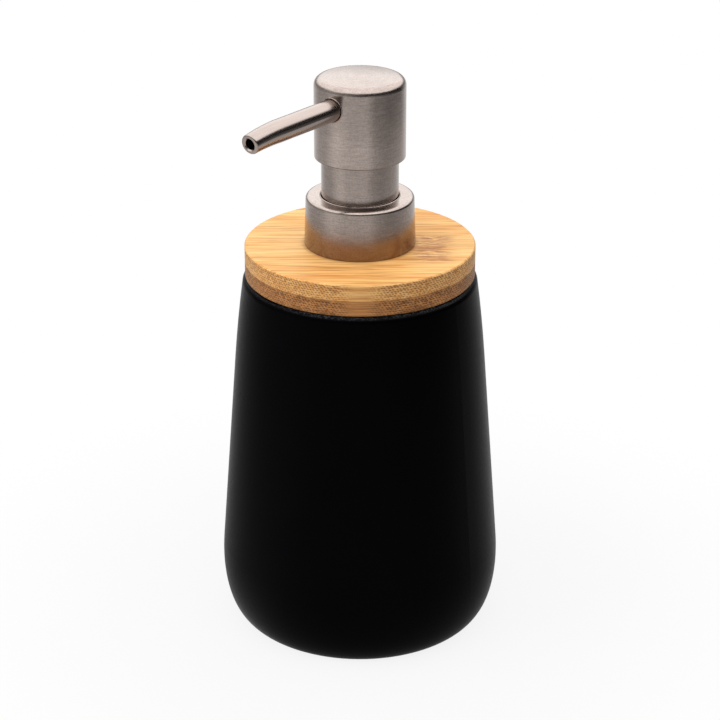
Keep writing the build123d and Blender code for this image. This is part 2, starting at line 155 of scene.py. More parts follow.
class DispenserColours(bpy.types.PropertyGroup):
    """Colours of the finishes"""

    glaze: colour("Glaze", "Matt glaze of the bottle", "#020203")
    clay: colour("Clay", "Bare clay of the foot ring", "#6E6862")
    bamboo_pale: colour("Pale bamboo", "Lightest fibres of the lid's upper layer", "#FFD08A")
    bamboo_deep: colour("Deep bamboo", "Darkest fibres of the lid's upper layer", "#E0994A")
    lower_pale: colour("Pale lower bamboo", "Lightest fibres of the lid's lower layers", "#D29658")
    lower_deep: colour("Deep lower bamboo", "Darkest fibres of the lid's lower layers", "#94602C")
    bundle: colour("Bundles", "Dark fibre bundles in the upper layer's end grain", "#85501F")
    lower_bundle: colour("Lower bundles", "Dark fibre bundles in the lower layers' end grain", "#3C1D09")
    nickel: colour("Nickel", "Plated metal of the pump", "#A79A93")
    plastic: colour("Plastic", "Moulded inner parts of the pump", "#E8E7E2")
    silicone: colour("Silicone", "Seal of the lid", "#D9D9D4")
    steel: colour("Steel", "Spring and valve balls", "#B4B4B2")


class DispenserSizes(bpy.types.PropertyGroup):
    """Sizes of the pieces that are made here"""

    thread_depth: length("Thread depth", "Height of the neck's thread over its core", 0.85)
    thread_width: length("Thread width", "Width of a thread ridge at its foot", 1.7)
    thread_turns: number("Thread turns", "Turns of each thread", 1.25, 0.25)
    wire: length("Spring wire", "Diameter of the return spring's wire", 0.9)
    coils: number("Coils", "Turns of the spring, its closed ends included", 9.0, 3.0)
    wire_sides: IntProperty(name="Wire sides", description="Flats round the spring's wire", default=12, min=5)
    lip: length("Spout hole lip", "Thickness of the drawn lip round the spout's hole", 0.34)
    crown: length("Crown", "Rise of the head's top from its rim to its middle", 0.3)
    collar_lip: length("Collar lip", "Thickness of the rolled lip round the collar's hole", 0.36)


class DispenserStage(bpy.types.PropertyGroup):
    """Camera, light and floor"""

    distance: length("Camera distance", "From the camera to the point it looks at", 611.0)
    aim: length("Aim height", "Height of the point that the camera looks at", 78.11)
    pitch: FloatProperty(
        name="Pitch",
        description="How far the camera looks down",
        default=math.radians(24.29),
        subtype="ANGLE",
    )
    lens: number("Lens", "Focal length in millimetres", 107.6, 1.0)
    fill: number("Fill", "Light from all round on matt surfaces", 0.25, 0.0)


def new_material(name):
    """A material without a shader, its node tree, and the place on the object that its patterns follow."""
    material = bpy.data.materials.new(name)
    material.use_nodes = True
    tree = material.node_tree
    tree.nodes.clear()
    return material, tree, add(tree, "ShaderNodeTexCoord").outputs["Object"]


def coated(material, inputs):
    """Close a material with a Principled shader that takes those inputs."""
    shader = add(material.node_tree, "ShaderNodeBsdfPrincipled", inputs)
    add(material.node_tree, "ShaderNodeOutputMaterial", {"Surface": shader})
    return material


def toned(tree, tint, pattern, low, high, full=1.0):
    """A tint made darker or paler: low times where the pattern is 0, high times where it is full."""
    tone = add(
        tree, "ShaderNodeMapRange", {"Value": pattern, "From Max": full, "To Min": low, "To Max": high}
    )
    return add(tree, "ShaderNodeVectorMath", {0: tint[:3], "Scale": tone}, operation="SCALE")


def from_axis(tree, place):
    """How far a place is from the dispenser's axis."""
    flat = add(tree, "ShaderNodeVectorMath", {0: place, 1: (1.0, 1.0, 0.0)}, operation="MULTIPLY")
    return add(tree, "ShaderNodeVectorMath", {0: flat}, operation="LENGTH")


def matt_glazed_stoneware(colours):
    """Slip-cast stoneware dipped in a matt black glaze."""
    # The eye gets near black, a grey sheen at the edges, a faint orange peel, a few pin specks,
    # a painted grey glint along the rim and a bare foot ring.
    material, tree, place = new_material("matt black glazed stoneware")
    cloud = add(tree, "ShaderNodeTexNoise", {"Vector": place, "Scale": per(16), "Detail": 3.0})
    glaze = toned(tree, colours.glaze, cloud, 0.7, 1.3)
    speck = add(tree, "ShaderNodeTexVoronoi", {"Vector": place, "Scale": per(24)})
    speck_size = add(tree, "ShaderNodeSeparateColor", {"Color": speck.outputs["Color"]})
    edge = add(tree, "ShaderNodeMath", {0: speck_size, 1: 0.013}, operation="MULTIPLY")
    spot = add(tree, "ShaderNodeMath", {0: speck, 1: edge}, operation="LESS_THAN")
    dim_spot = add(tree, "ShaderNodeMath", {0: spot, 1: 0.4}, operation="MULTIPLY")
    dusted = add(tree, "ShaderNodeMix", {0: dim_spot, 6: glaze, 7: linear("#8D9096")}, data_type="RGBA")

    height = add(tree, "ShaderNodeSeparateXYZ", {"Vector": place}).outputs["Z"]
    bare = add(
        tree,
        "ShaderNodeMapRange",
        {"Value": height, "From Min": 0.04 * MM, "From Max": 0.12 * MM, "To Min": 1.0, "To Max": 0.0},
    )
    grog = add(tree, "ShaderNodeTexNoise", {"Vector": place, "Scale": per(0.6), "Detail": 4.0})
    clay = add(tree, "ShaderNodeVectorMath", {0: colours.clay[:3], "Scale": grog}, operation="SCALE")
    skin = add(tree, "ShaderNodeMix", {0: bare, 6: dusted, 7: clay}, data_type="RGBA")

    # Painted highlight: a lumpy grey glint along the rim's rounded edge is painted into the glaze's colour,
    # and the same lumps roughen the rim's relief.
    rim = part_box("bottle")[1].z
    bead = add(
        tree,
        "ShaderNodeMapRange",
        {"Value": height, "From Min": rim - 1.1 * MM, "From Max": rim - 0.5 * MM},
        interpolation_type="SMOOTHSTEP",
    )
    lumps = add(tree, "ShaderNodeTexNoise", {"Vector": place, "Scale": per(0.5), "Detail": 3.0})
    glint = add(
        tree,
        "ShaderNodeMapRange",
        {"Value": lumps, "From Min": 0.44, "From Max": 0.72, "To Min": 0.02, "To Max": 1.0},
    )
    glint_patches = add(
        tree, "ShaderNodeMapRange", {"Value": cloud, "From Min": 0.42, "From Max": 0.62, "To Min": 0.1}
    )
    for share in (glint_patches, bead):
        glint = add(tree, "ShaderNodeMath", {0: glint, 1: share}, operation="MULTIPLY")
    skin = add(tree, "ShaderNodeMix", {0: glint, 6: skin, 7: linear("#434447")}, data_type="RGBA")

    peel = add(
        tree, "ShaderNodeTexNoise", {"Vector": place, "Scale": per(1.1), "Detail": 2.0, "Roughness": 0.4}
    )
    gloss = add(tree, "ShaderNodeMapRange", {"Value": peel, "To Min": 0.24, "To Max": 0.36})
    rough = add(tree, "ShaderNodeMix", {0: bare, 2: gloss, 3: 0.9}, data_type="FLOAT")
    bump = add(tree, "ShaderNodeBump", {"Height": peel, "Distance": 0.03 * MM, "Strength": 0.7})
    crawl = add(
        tree, "ShaderNodeBump", {"Height": lumps, "Distance": 0.1 * MM, "Strength": bead, "Normal": bump}
    )
    return coated(
        material, {"Base Color": skin, "Roughness": rough, "Normal": crawl, "Specular IOR Level": 0.022}
    )


def oiled_bamboo(name, pale, deep, bundle, layer):
    """Pressed bamboo strips, sanded and finished with oil."""
    # The eye gets fine straight fibres along the strips, a smudged node across one strip,
    # and on end grain rows of dark bundles that crowd towards the top of each layer.
    material, tree, place = new_material(name)
    normal = place.node.outputs["Normal"]
    to_grain = (0.0, 0.0, -GRAIN_TURN)
    grain = add(tree, "ShaderNodeMapping", {"Vector": place, "Rotation": to_grain})
    facing = add(tree, "ShaderNodeMapping", {"Vector": normal, "Rotation": to_grain})
    along, across, up = add(tree, "ShaderNodeSeparateXYZ", {"Vector": grain}).outputs
    end_on, _, upright = add(tree, "ShaderNodeSeparateXYZ", {"Vector": facing}).outputs
    end_share = add(tree, "ShaderNodeMath", {0: end_on}, operation="ABSOLUTE")
    end_grain = add(
        tree,
        "ShaderNodeMapRange",
        {"Value": end_share, "From Min": 0.01, "From Max": 0.24},
        interpolation_type="SMOOTHSTEP",
    )

    # Strips are numbered from the front. The one with the node in it has its front edge 14.5 mm before
    # the axis, and the node is 19.7 mm along it.
    strip_width, strip_edge, node_strip, node_along = 20.0, -14.5, 2, 19.7 * MM
    strip = add(
        tree,
        "ShaderNodeMath",
        {0: across, 1: per(strip_width), 2: node_strip - strip_edge / strip_width},
        operation="MULTIPLY_ADD",
    )
    strip_number = add(tree, "ShaderNodeMath", {0: strip}, operation="FLOOR")
    # The seed leaves the strips at the front and in the middle paler than those behind.
    seed = add(tree, "ShaderNodeMath", {0: strip_number, 1: 5.0}, operation="ADD")
    strip_tone = add(tree, "ShaderNodeTexWhiteNoise", {"W": seed}, noise_dimensions="1D")
    in_strip = add(tree, "ShaderNodeMath", {0: strip_number, 1: node_strip, 2: 0.1}, operation="COMPARE")
    from_node = add(tree, "ShaderNodeMath", {0: along, 1: node_along}, operation="SUBTRACT")
    far = add(tree, "ShaderNodeMath", {0: from_node}, operation="ABSOLUTE")
    near = add(
        tree,
        "ShaderNodeMapRange",
        {"Value": far, "From Min": 1.5 * MM, "From Max": 8.5 * MM, "To Min": 1.0, "To Max": 0.0},
        interpolation_type="SMOOTHSTEP",
    )
    node_share = add(tree, "ShaderNodeMath", {0: near, 1: in_strip}, operation="MULTIPLY")

    # Fibres swing aside at the node.
    swing = add(tree, "ShaderNodeTexNoise", {"Vector": grain, "Scale": per(4.5), "Detail": 1.0})
    side = add(tree, "ShaderNodeMath", {0: swing, 1: 0.5}, operation="SUBTRACT")
    reach = add(tree, "ShaderNodeMath", {0: node_share, 1: 2.2 * MM}, operation="MULTIPLY")
    swung = add(tree, "ShaderNodeMath", {0: side, 1: reach, 2: across}, operation="MULTIPLY_ADD")
    fibre_place = add(tree, "ShaderNodeCombineXYZ", {"X": along, "Y": swung, "Z": up})

    def fibres(run, wide, tall, detail, roughness=0.5):
        """A pattern of fibres that many millimetres long, wide and tall."""
        drawn = add(
            tree, "ShaderNodeMapping", {"Vector": fibre_place, "Scale": (per(run), per(wide), per(tall))}
        )
        return add(
            tree,
            "ShaderNodeTexNoise",
            {"Vector": drawn, "Scale": 1.0, "Detail": detail, "Roughness": roughness},
        )

    broad = fibres(70, 2.6, 1.4, 1.0)
    streak = fibres(26, 0.8, 0.5, 3.0)
    hair = fibres(24, 0.3, 0.25, 1.0)
    mixed = 0.0
    for pattern, weight in ((broad, 0.5), (streak, 0.75), (hair, 0.5), (strip_tone, 0.12)):
        mixed = add(tree, "ShaderNodeMath", {0: pattern, 1: weight, 2: mixed}, operation="MULTIPLY_ADD")
    shade = add(tree, "ShaderNodeMapRange", {"Value": mixed, "From Min": 0.76, "From Max": 1.06})
    wood = add(tree, "ShaderNodeMix", {0: shade, 6: deep, 7: pale}, data_type="RGBA")
    thread = add(
        tree,
        "ShaderNodeMapRange",
        {"Value": fibres(17, 0.7, 0.34, 3.0), "From Min": 0.52, "From Max": 0.63, "To Max": 0.56},
    )
    dark = [0.5 * (a + b) for a, b in zip(deep, bundle)]
    wood = add(tree, "ShaderNodeMix", {0: thread, 6: wood, 7: dark}, data_type="RGBA")
    # Strips differ in hue too, and the one at the front is the most like honey.
    honey = add(tree, "ShaderNodeMath", {0: strip_number, 1: 0.15, 2: 0.8}, operation="MULTIPLY_ADD")
    honey = add(tree, "ShaderNodeMath", {0: honey}, operation="FRACT")
    wood = add(
        tree,
        "ShaderNodeMix",
        {0: honey, 6: wood, 7: (1.0, 0.9, 0.8, 1.0)},
        data_type="RGBA",
        blend_type="MULTIPLY",
    )

    # The node itself: brown smears that are shorter than the fibres.
    smear = add(
        tree,
        "ShaderNodeMapRange",
        {
            "Value": fibres(4.5, 0.75, 1.6, 5.0, 0.65),
            "From Min": 0.42,
            "From Max": 0.62,
            "To Min": 0.06,
            "To Max": 1.0,
        },
    )
    smear = add(tree, "ShaderNodeMath", {0: smear, 1: node_share}, operation="MULTIPLY")
    wood = add(tree, "ShaderNodeMix", {0: smear, 6: wood, 7: linear("#A8683A")}, data_type="RGBA")

    # Bundles of fibres in slanting rows, seen as dots where they are cut across. Real ones are about
    # 0.4 mm apart; these are 0.95 mm apart round the rim and 0.62 mm up it, so that they show.
    bearing = add(tree, "ShaderNodeMath", {0: across, 1: along}, operation="ARCTAN2")
    arc = add(tree, "ShaderNodeMath", {0: bearing, 1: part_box(layer)[1].x}, operation="MULTIPLY")
    slant = add(tree, "ShaderNodeMath", {0: up, 1: 0.75, 2: arc}, operation="MULTIPLY_ADD")
    cut = add(tree, "ShaderNodeCombineXYZ", {"X": slant, "Y": up})
    cut = add(tree, "ShaderNodeMapping", {"Vector": cut, "Scale": (per(0.95), per(0.62), 1.0)})
    bundles = add(
        tree,
        "ShaderNodeTexVoronoi",
        {"Vector": cut, "Scale": 1.0, "Randomness": 0.4},
        voronoi_dimensions="2D",
    )
    low, high = (corner.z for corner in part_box(layer))
    rise = add(
        tree,
        "ShaderNodeMapRange",
        {"Value": up, "From Min": low, "From Max": high, "To Min": 0.07, "To Max": -0.07},
    )
    crowded = add(tree, "ShaderNodeMath", {0: bundles, 1: rise}, operation="ADD")
    dots = add(
        tree,
        "ShaderNodeMapRange",
        {"Value": crowded, "From Min": 0.14, "From Max": 0.44, "To Min": 0.8, "To Max": 0.0},
        interpolation_type="SMOOTHSTEP",
    )
    # Handling has worn the dots off the upper edge.
    kept = add(
        tree,
        "ShaderNodeMapRange",
        {
            "Value": up,
            "From Min": high - 0.55 * MM,
            "From Max": high - 0.15 * MM,
            "To Min": 1.0,
            "To Max": 0.15,
        },
    )
    for share in (end_grain, kept):
        dots = add(tree, "ShaderNodeMath", {0: dots, 1: share}, operation="MULTIPLY")
    wood = add(tree, "ShaderNodeMix", {0: dots, 6: wood, 7: bundle}, data_type="RGBA")

    # The turned sides are rougher than the top and hold more oil, and their colour is also darkened as
    # painted shade, since upright faces take less light than the top.
    oiled_and_side_shaded = add(
        tree,
        "ShaderNodeMapRange",
        {"Value": upright, "From Min": 0.3, "From Max": 0.9, "To Min": 0.71, "To Max": 1.0},
        interpolation_type="SMOOTHSTEP",
    )
    wood = add(tree, "ShaderNodeVectorMath", {0: wood, "Scale": oiled_and_side_shaded}, operation="SCALE")

    # Painted shade: the wood is darkened in a narrow ring round the collar's foot, where the collar shades
    # it.
    painted_collar_shade = add(
        tree,
        "ShaderNodeMapRange",
        {
            "Value": from_axis(tree, place),
            "From Min": COLLAR_RADIUS,
            "From Max": COLLAR_RADIUS + 1.3 * MM,
            "To Min": 0.6,
            "To Max": 0.0,
        },
        interpolation_type="SMOOTHSTEP",
    )
    painted_collar_shade_share = add(tree, "ShaderNodeMath", {0: painted_collar_shade, 1: streak}, operation="MULTIPLY")
    wood = add(tree, "ShaderNodeMix", {0: painted_collar_shade_share, 6: wood, 7: bundle}, data_type="RGBA")

    rough = add(tree, "ShaderNodeMapRange", {"Value": streak, "To Min": 0.62, "To Max": 0.46})
    relief = add(tree, "ShaderNodeMath", {0: dots, 1: -0.6, 2: hair}, operation="MULTIPLY_ADD")
    bump = add(tree, "ShaderNodeBump", {"Height": relief, "Distance": 0.025 * MM, "Strength": 0.8})
    return coated(
        material, {"Base Color": wood, "Roughness": rough, "Normal": bump, "Specular IOR Level": 0.35}
    )


def brushed_nickel(colours):
    """Drawn steel shells plated with nickel and brushed round their axis."""
    # The eye gets a warm grey metal whose highlights are smeared up and down by fine lines round it.
    # Real brush lines are about 0.05 mm apart; these are 0.28 mm, so that they show.
    material, tree, place = new_material("brushed nickel plate")
    line_gap, line_run = 0.28, 2.6
    ring = add(tree, "ShaderNodeMath", {0: from_axis(tree, place), 1: per(line_gap)}, operation="MULTIPLY")
    drawn = add(
        tree,
        "ShaderNodeMapping",
        {"Vector": place, "Scale": (per(line_run), per(line_run), per(line_gap))},
    )
    lines = add(
        tree,
        "ShaderNodeTexNoise",
        {"Vector": drawn, "W": ring, "Scale": 1.0, "Detail": 3.0, "Roughness": 0.6},
        noise_dimensions="4D",
    )
    patch = add(tree, "ShaderNodeTexNoise", {"Vector": place, "Scale": per(6), "Detail": 3.0})
    grain = add(tree, "ShaderNodeTexNoise", {"Vector": place, "Scale": per(0.5), "Detail": 2.0})
    marks = lines
    for pattern, weight in ((grain, 0.6), (patch, 0.3)):
        marks = add(tree, "ShaderNodeMath", {0: pattern, 1: weight, 2: marks}, operation="MULTIPLY_ADD")
    tone = add(
        tree,
        "ShaderNodeMapRange",
        {"Value": marks, "From Min": 0.5, "From Max": 1.4, "To Min": 0.6, "To Max": 1.4},
    )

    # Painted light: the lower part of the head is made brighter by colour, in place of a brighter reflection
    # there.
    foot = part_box("head_shell")[0].z
    height = add(tree, "ShaderNodeSeparateXYZ", {"Vector": place}).outputs["Z"]
    above = add(
        tree,
        "ShaderNodeMapRange",
        {
            "Value": height,
            "From Min": foot + 4 * MM,
            "From Max": foot + 14 * MM,
            "To Min": 1.16,
            "To Max": 1.0,
        },
        interpolation_type="SMOOTHSTEP",
    )
    on_head = add(tree, "ShaderNodeMath", {0: height, 1: foot - 0.01 * MM}, operation="GREATER_THAN")
    # Painted shade darkens the eased edge at its foot.
    painted_foot_shade = add(
        tree,
        "ShaderNodeMapRange",
        {
            "Value": height,
            "From Min": foot + 0.15 * MM,
            "From Max": foot + 0.4 * MM,
            "To Min": 0.4,
            "To Max": 1.0,
        },
    )
    above = add(tree, "ShaderNodeMath", {0: above, 1: painted_foot_shade}, operation="MULTIPLY")
    painted_head_light_and_shade = add(tree, "ShaderNodeMix", {0: on_head, 2: 1.0, 3: above}, data_type="FLOAT")
    shine = add(tree, "ShaderNodeMath", {0: tone, 1: painted_head_light_and_shade}, operation="MULTIPLY")

    # Painted shade: the collar's foot is made darker and browner by colour, standing in for the shaded wood
    # that it reflects.
    painted_collar_foot_shade = add(
        tree,
        "ShaderNodeMapRange",
        {
            "Value": height,
            "From Min": LID_TOP + 3 * MM,
            "From Max": LID_TOP + 11 * MM,
            "To Min": 1.0,
            "To Max": 0.0,
        },
        interpolation_type="SMOOTHSTEP",
    )
    shaded_nickel = [part * share for part, share in zip(colours.nickel[:3], (0.69, 0.61, 0.56))]
    plate = add(tree, "ShaderNodeMix", {0: painted_collar_foot_shade, 6: colours.nickel[:], 7: (*shaded_nickel, 1.0)}, data_type="RGBA")
    metal = add(tree, "ShaderNodeVectorMath", {0: plate, "Scale": shine}, operation="SCALE")

    wear = add(tree, "ShaderNodeMath", {0: patch, 1: 0.35, 2: lines}, operation="MULTIPLY_ADD")
    rough = add(
        tree,
        "ShaderNodeMapRange",
        {"Value": wear, "From Min": 0.3, "From Max": 1.0, "To Min": 0.14, "To Max": 0.28},
    )
    bump = add(tree, "ShaderNodeBump", {"Height": lines, "Distance": 0.004 * MM, "Strength": 0.6})
    return coated(
        material,
        {
            "Base Color": metal,
            "Roughness": rough,
            "Normal": bump,
            "Tangent": add(tree, "ShaderNodeTangent", direction_type="RADIAL", axis="Z"),
            "Metallic": 1.0,
            "Anisotropic": 0.4,
            "Anisotropic Rotation": 0.25,
        },
    )


def polished_nickel(colours):
    """A bent steel tube, buffed along its length and plated with nickel."""
    # The eye gets mirror bands along the tube, softened a little by buffing marks.
    material, tree, place = new_material("polished nickel plate")
    drawn = add(tree, "ShaderNodeMapping", {"Vector": place, "Scale": (per(0.5), per(14), per(0.5))})
    buffing = add(tree, "ShaderNodeTexNoise", {"Vector": drawn, "Scale": 1.0, "Detail": 2.0})
    dents = add(tree, "ShaderNodeTexNoise", {"Vector": place, "Scale": per(5), "Detail": 1.0})
    return coated(
        material,
        {
            "Base Color": toned(tree, colours.nickel, buffing, 0.88, 1.22),
            "Roughness": add(tree, "ShaderNodeMapRange", {"Value": buffing, "To Min": 0.12, "To Max": 0.32}),
            "Normal": add(tree, "ShaderNodeBump", {"Height": dents, "Distance": 0.015 * MM, "Strength": 0.4}),
            "Metallic": 1.0,
        },
    )


def moulded_plastic(name, tint, smoothest, roughest, clear=0.0):
    """Injection-moulded polyolefin with a spark-eroded mould skin."""
    # The eye gets a milky satin white with a fine pebbled skin and slow flow marks.
    material, tree, place = new_material(name)
    flow = add(
        tree, "ShaderNodeTexNoise", {"Vector": place, "Scale": per(7), "Detail": 2.0, "Distortion": 0.6}
    )
    pebble = add(tree, "ShaderNodeTexNoise", {"Vector": place, "Scale": per(0.35), "Detail": 2.0})
    rough = add(tree, "ShaderNodeMapRange", {"Value": pebble, "To Min": smoothest, "To Max": roughest})
    return coated(
        material,
        {
            "Base Color": toned(tree, tint, flow, 0.93, 1.03),
            "Roughness": rough,
            "Normal": add(tree, "ShaderNodeBump", {"Height": pebble, "Distance": 0.01 * MM, "Strength": 0.5}),
            "IOR": 1.49,
            "Transmission Weight": clear,
        },
    )


def silicone_rubber(colours):
    """Moulded silicone rubber."""
    # The eye gets a soft translucent grey white with a dull bloom.
    material, tree, place = new_material("moulded silicone rubber")
    bloom = add(tree, "ShaderNodeTexNoise", {"Vector": place, "Scale": per(2.5), "Detail": 4.0})
    return coated(
        material,
        {
            "Base Color": toned(tree, colours.silicone, bloom, 0.88, 1.02),
            "Roughness": add(tree, "ShaderNodeMapRange", {"Value": bloom, "To Min": 0.55, "To Max": 0.8}),
            "Subsurface Weight": 0.2,
            "Subsurface Scale": 1.0 * MM,
            "IOR": 1.41,
        },
    )


def foamed_gasket(colours):
    """A washer punched from foamed polyethylene."""
    # The eye gets chalky white with small closed cells.
    material, tree, place = new_material("foamed polyethylene")
    cells = add(tree, "ShaderNodeTexVoronoi", {"Vector": place, "Scale": per(0.5)})
    return coated(
        material,
        {
            "Base Color": toned(tree, colours.plastic, cells, 0.8, 1.0, full=0.7),
            "Normal": add(tree, "ShaderNodeBump", {"Height": cells, "Distance": 0.08 * MM, "Strength": 0.8}),
            "Roughness": 0.8,
        },
    )


def bright_steel(name, colours, smoothest, roughest, mark):
    """Stainless steel, drawn to wire or ground to a ball."""
    # The eye gets a cool bright metal with fine die or grinding marks.
    material, tree, place = new_material(name)
    marks = add(tree, "ShaderNodeTexNoise", {"Vector": place, "Scale": per(mark), "Detail": 4.0})
    rough = add(tree, "ShaderNodeMapRange", {"Value": marks, "To Min": smoothest, "To Max": roughest})
    metal = toned(tree, colours.steel, marks, 0.85, 1.12)
    return coated(material, {"Base Color": metal, "Roughness": rough, "Metallic": 1.0})


def finish(node, material):
    """Give a CAD node its finished material."""
    slots = NODES[node].data.materials
    slots.clear()
    slots.append(material)


def place_mesh(name, mesh, body):
    """Put a finished mesh in the scene as a piece that rides on a body."""
    piece = bpy.data.objects.new(name, mesh)
    bpy.context.scene.collection.objects.link(piece)
    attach(piece, body)
    return piece


def turned(name, profile, material, sides=128):
    """A closed half section of (radius, height) points, turned about Z."""
    work = bmesh.new()
    points = [work.verts.new((r, 0.0, z)) for r, z in profile]
    edges = [work.edges.new((points[i - 1], points[i])) for i in range(len(points))]
    bmesh.ops.spin(
        work,
        geom=points + edges,
        cent=(0, 0, 0),
        axis=(0, 0, 1),
        angle=2 * math.pi,
        steps=sides,
        use_merge=True,
    )
    # Points and edges on the axis fall together.
    bmesh.ops.remove_doubles(work, verts=work.verts, dist=0.001 * MM)
    bmesh.ops.delete(work, geom=[edge for edge in work.edges if not edge.link_faces], context="EDGES")
    bmesh.ops.recalc_face_normals(work, faces=work.faces)
    for face in work.faces:
        face.smooth = True
    sharp = math.radians(30)
    for edge in work.edges:
        edge.smooth = len(edge.link_faces) == 2 and edge.calc_face_angle(0.0) < sharp
    mesh = bpy.data.meshes.new(name)
    work.to_mesh(mesh)
    work.free()
    mesh.materials.append(material)
    return mesh


def new_tree(name, lengths, counts=()):
    """A Geometry Nodes tree with those inputs and a material. Returns it and its input sockets by name."""
    tree = bpy.data.node_groups.new(name, "GeometryNodeTree")
    for labels, kind in ((lengths, "Float"), (counts, "Int"), (("Material",), "Material")):
        for label in labels:
            tree.interface.new_socket(label, in_out="INPUT", socket_type="NodeSocket" + kind)
    tree.interface.new_socket("Geometry", in_out="OUTPUT", socket_type="NodeSocketGeometry")
    return tree, add(tree, "NodeGroupInput").outputs


def end_tree(tree, geometry, material):
    """Close a tree: real meshes, smooth faces, one material."""
    whole = add(tree, "GeometryNodeRealizeInstances", {"Geometry": geometry})
    smooth = add(tree, "GeometryNodeSetShadeSmooth", {"Geometry": whole})
    painted = add(tree, "GeometryNodeSetMaterial", {"Geometry": smooth, "Material": material})
    add(tree, "NodeGroupOutput", {"Geometry": painted})
    return tree


def grown(name, tree, values):
    """Run a tree with those values and keep its result as a plain mesh."""
    holder = bpy.data.objects.new(name + "_maker", bpy.data.meshes.new(name + "_maker"))
    bpy.context.scene.collection.objects.link(holder)
    modifier = holder.modifiers.new(tree.name, "NODES")
    modifier.node_group = tree
    for item in tree.interface.items_tree:
        if item.in_out == "INPUT":
            modifier[item.identifier] = values[item.name]
    made = holder.evaluated_get(bpy.context.evaluated_depsgraph_get())
    mesh = bpy.data.meshes.new_from_object(made)
    mesh.name = name
    bpy.data.objects.remove(holder)
    if not mesh.polygons:
        raise RuntimeError(f"the tree of {name} made no faces")
    return mesh


def wound_tree(name):
    """A helix with closed end turns and a swept section: a spring's wire or a thread's ridge."""
    tree, given = new_tree(
        name,
        [
            "Radius",
            "Bottom",
            "Pitch",
            "End pitch",
            "Turns",
            "Start",
            "Run-out",
            "Section depth",
            "Section width",
        ],
        ["Section sides", "Points"],
    )
    line = add(tree, "GeometryNodeCurvePrimitiveLine", {"End": (0.0, 0.0, 1.0)})
    path = add(tree, "GeometryNodeResampleCurve", {"Curve": line, "Count": given["Points"]})
    share = add(tree, "GeometryNodeSplineParameter").outputs["Factor"]
    turn = add(tree, "ShaderNodeMath", {0: share, 1: given["Turns"]}, operation="MULTIPLY")
    spun = add(tree, "ShaderNodeMath", {0: turn, 1: given["Start"]}, operation="ADD")
    angle = add(tree, "ShaderNodeMath", {0: spun, 1: 2 * math.pi}, operation="MULTIPLY")
    # The first and the last turn climb at the end pitch, those between at the pitch.
    last = add(tree, "ShaderNodeMath", {0: given["Turns"], 1: 1.0}, operation="SUBTRACT")
    held = add(tree, "ShaderNodeClamp", {"Value": turn, "Min": 1.0, "Max": last})
    middle = add(tree, "ShaderNodeMath", {0: held, 1: 1.0}, operation="SUBTRACT")
    ends = add(tree, "ShaderNodeMath", {0: turn, 1: middle}, operation="SUBTRACT")
    height = given["Bottom"]
    for turns, pitch in ((middle, "Pitch"), (ends, "End pitch")):
        height = add(tree, "ShaderNodeMath", {0: turns, 1: given[pitch], 2: height}, operation="MULTIPLY_ADD")
    cosine = add(tree, "ShaderNodeMath", {0: angle}, operation="COSINE")
    sine = add(tree, "ShaderNodeMath", {0: angle}, operation="SINE")
    x = add(tree, "ShaderNodeMath", {0: cosine, 1: given["Radius"]}, operation="MULTIPLY")
    y = add(tree, "ShaderNodeMath", {0: sine, 1: given["Radius"]}, operation="MULTIPLY")
    point = add(tree, "ShaderNodeCombineXYZ", {"X": x, "Y": y, "Z": height})
    helix = add(tree, "GeometryNodeSetPosition", {"Geometry": path, "Position": point})
    upright = add(tree, "GeometryNodeSetCurveNormal", {"Curve": helix}, mode="Z_UP")
    # A thread's ridge fades out over its run-out at both ends.
    back = add(tree, "ShaderNodeMath", {0: given["Turns"], 1: turn}, operation="SUBTRACT")
    to_end = add(tree, "ShaderNodeMath", {0: turn, 1: back}, operation="MINIMUM")
    fade = add(
        tree,
        "ShaderNodeMapRange",
        {"Value": to_end, "From Min": 0.0, "From Max": given["Run-out"], "To Min": 0.35, "To Max": 1.0},
    )
    ring = add(
        tree, "GeometryNodeCurvePrimitiveCircle", {"Resolution": given["Section sides"], "Radius": 0.5}
    )
    shape = add(
        tree, "ShaderNodeCombineXYZ", {"X": given["Section depth"], "Y": given["Section width"], "Z": 1.0}
    )
    section = add(tree, "GeometryNodeTransform", {"Geometry": ring, "Scale": shape})
    swept = add(
        tree,
        "GeometryNodeCurveToMesh",
        {"Curve": upright, "Profile Curve": section, "Scale": fade, "Fill Caps": True},
    )
    return end_tree(tree, swept, given["Material"])


def hole_lip_tree(name):
    """A thin lip that follows a round hole through the side of a cylinder facing -Y."""
    tree, given = new_tree(name, ["Hole radius", "Wall radius", "Height", "Thickness"])
    hole = add(tree, "GeometryNodeCurvePrimitiveCircle", {"Resolution": 96, "Radius": given["Hole radius"]})
    position = add(tree, "GeometryNodeInputPosition")
    x, z, _ = add(tree, "ShaderNodeSeparateXYZ", {"Vector": position}).outputs
    wall_square = add(tree, "ShaderNodeMath", {0: given["Wall radius"], 1: 2.0}, operation="POWER")
    x_square = add(tree, "ShaderNodeMath", {0: x, 1: x}, operation="MULTIPLY")
    depth_square = add(tree, "ShaderNodeMath", {0: wall_square, 1: x_square}, operation="SUBTRACT")
    depth = add(tree, "ShaderNodeMath", {0: depth_square}, operation="SQRT")
    front = add(tree, "ShaderNodeMath", {0: depth, 1: -1.0}, operation="MULTIPLY")
    raised = add(tree, "ShaderNodeMath", {0: z, 1: given["Height"]}, operation="ADD")
    point = add(tree, "ShaderNodeCombineXYZ", {"X": x, "Y": front, "Z": raised})
    edge = add(tree, "GeometryNodeSetPosition", {"Geometry": hole, "Position": point})
    half = add(tree, "ShaderNodeMath", {0: given["Thickness"], 1: 0.5}, operation="MULTIPLY")
    bead = add(tree, "GeometryNodeCurvePrimitiveCircle", {"Resolution": 10, "Radius": half})
    swept = add(tree, "GeometryNodeCurveToMesh", {"Curve": edge, "Profile Curve": bead})
    return end_tree(tree, swept, given["Material"])


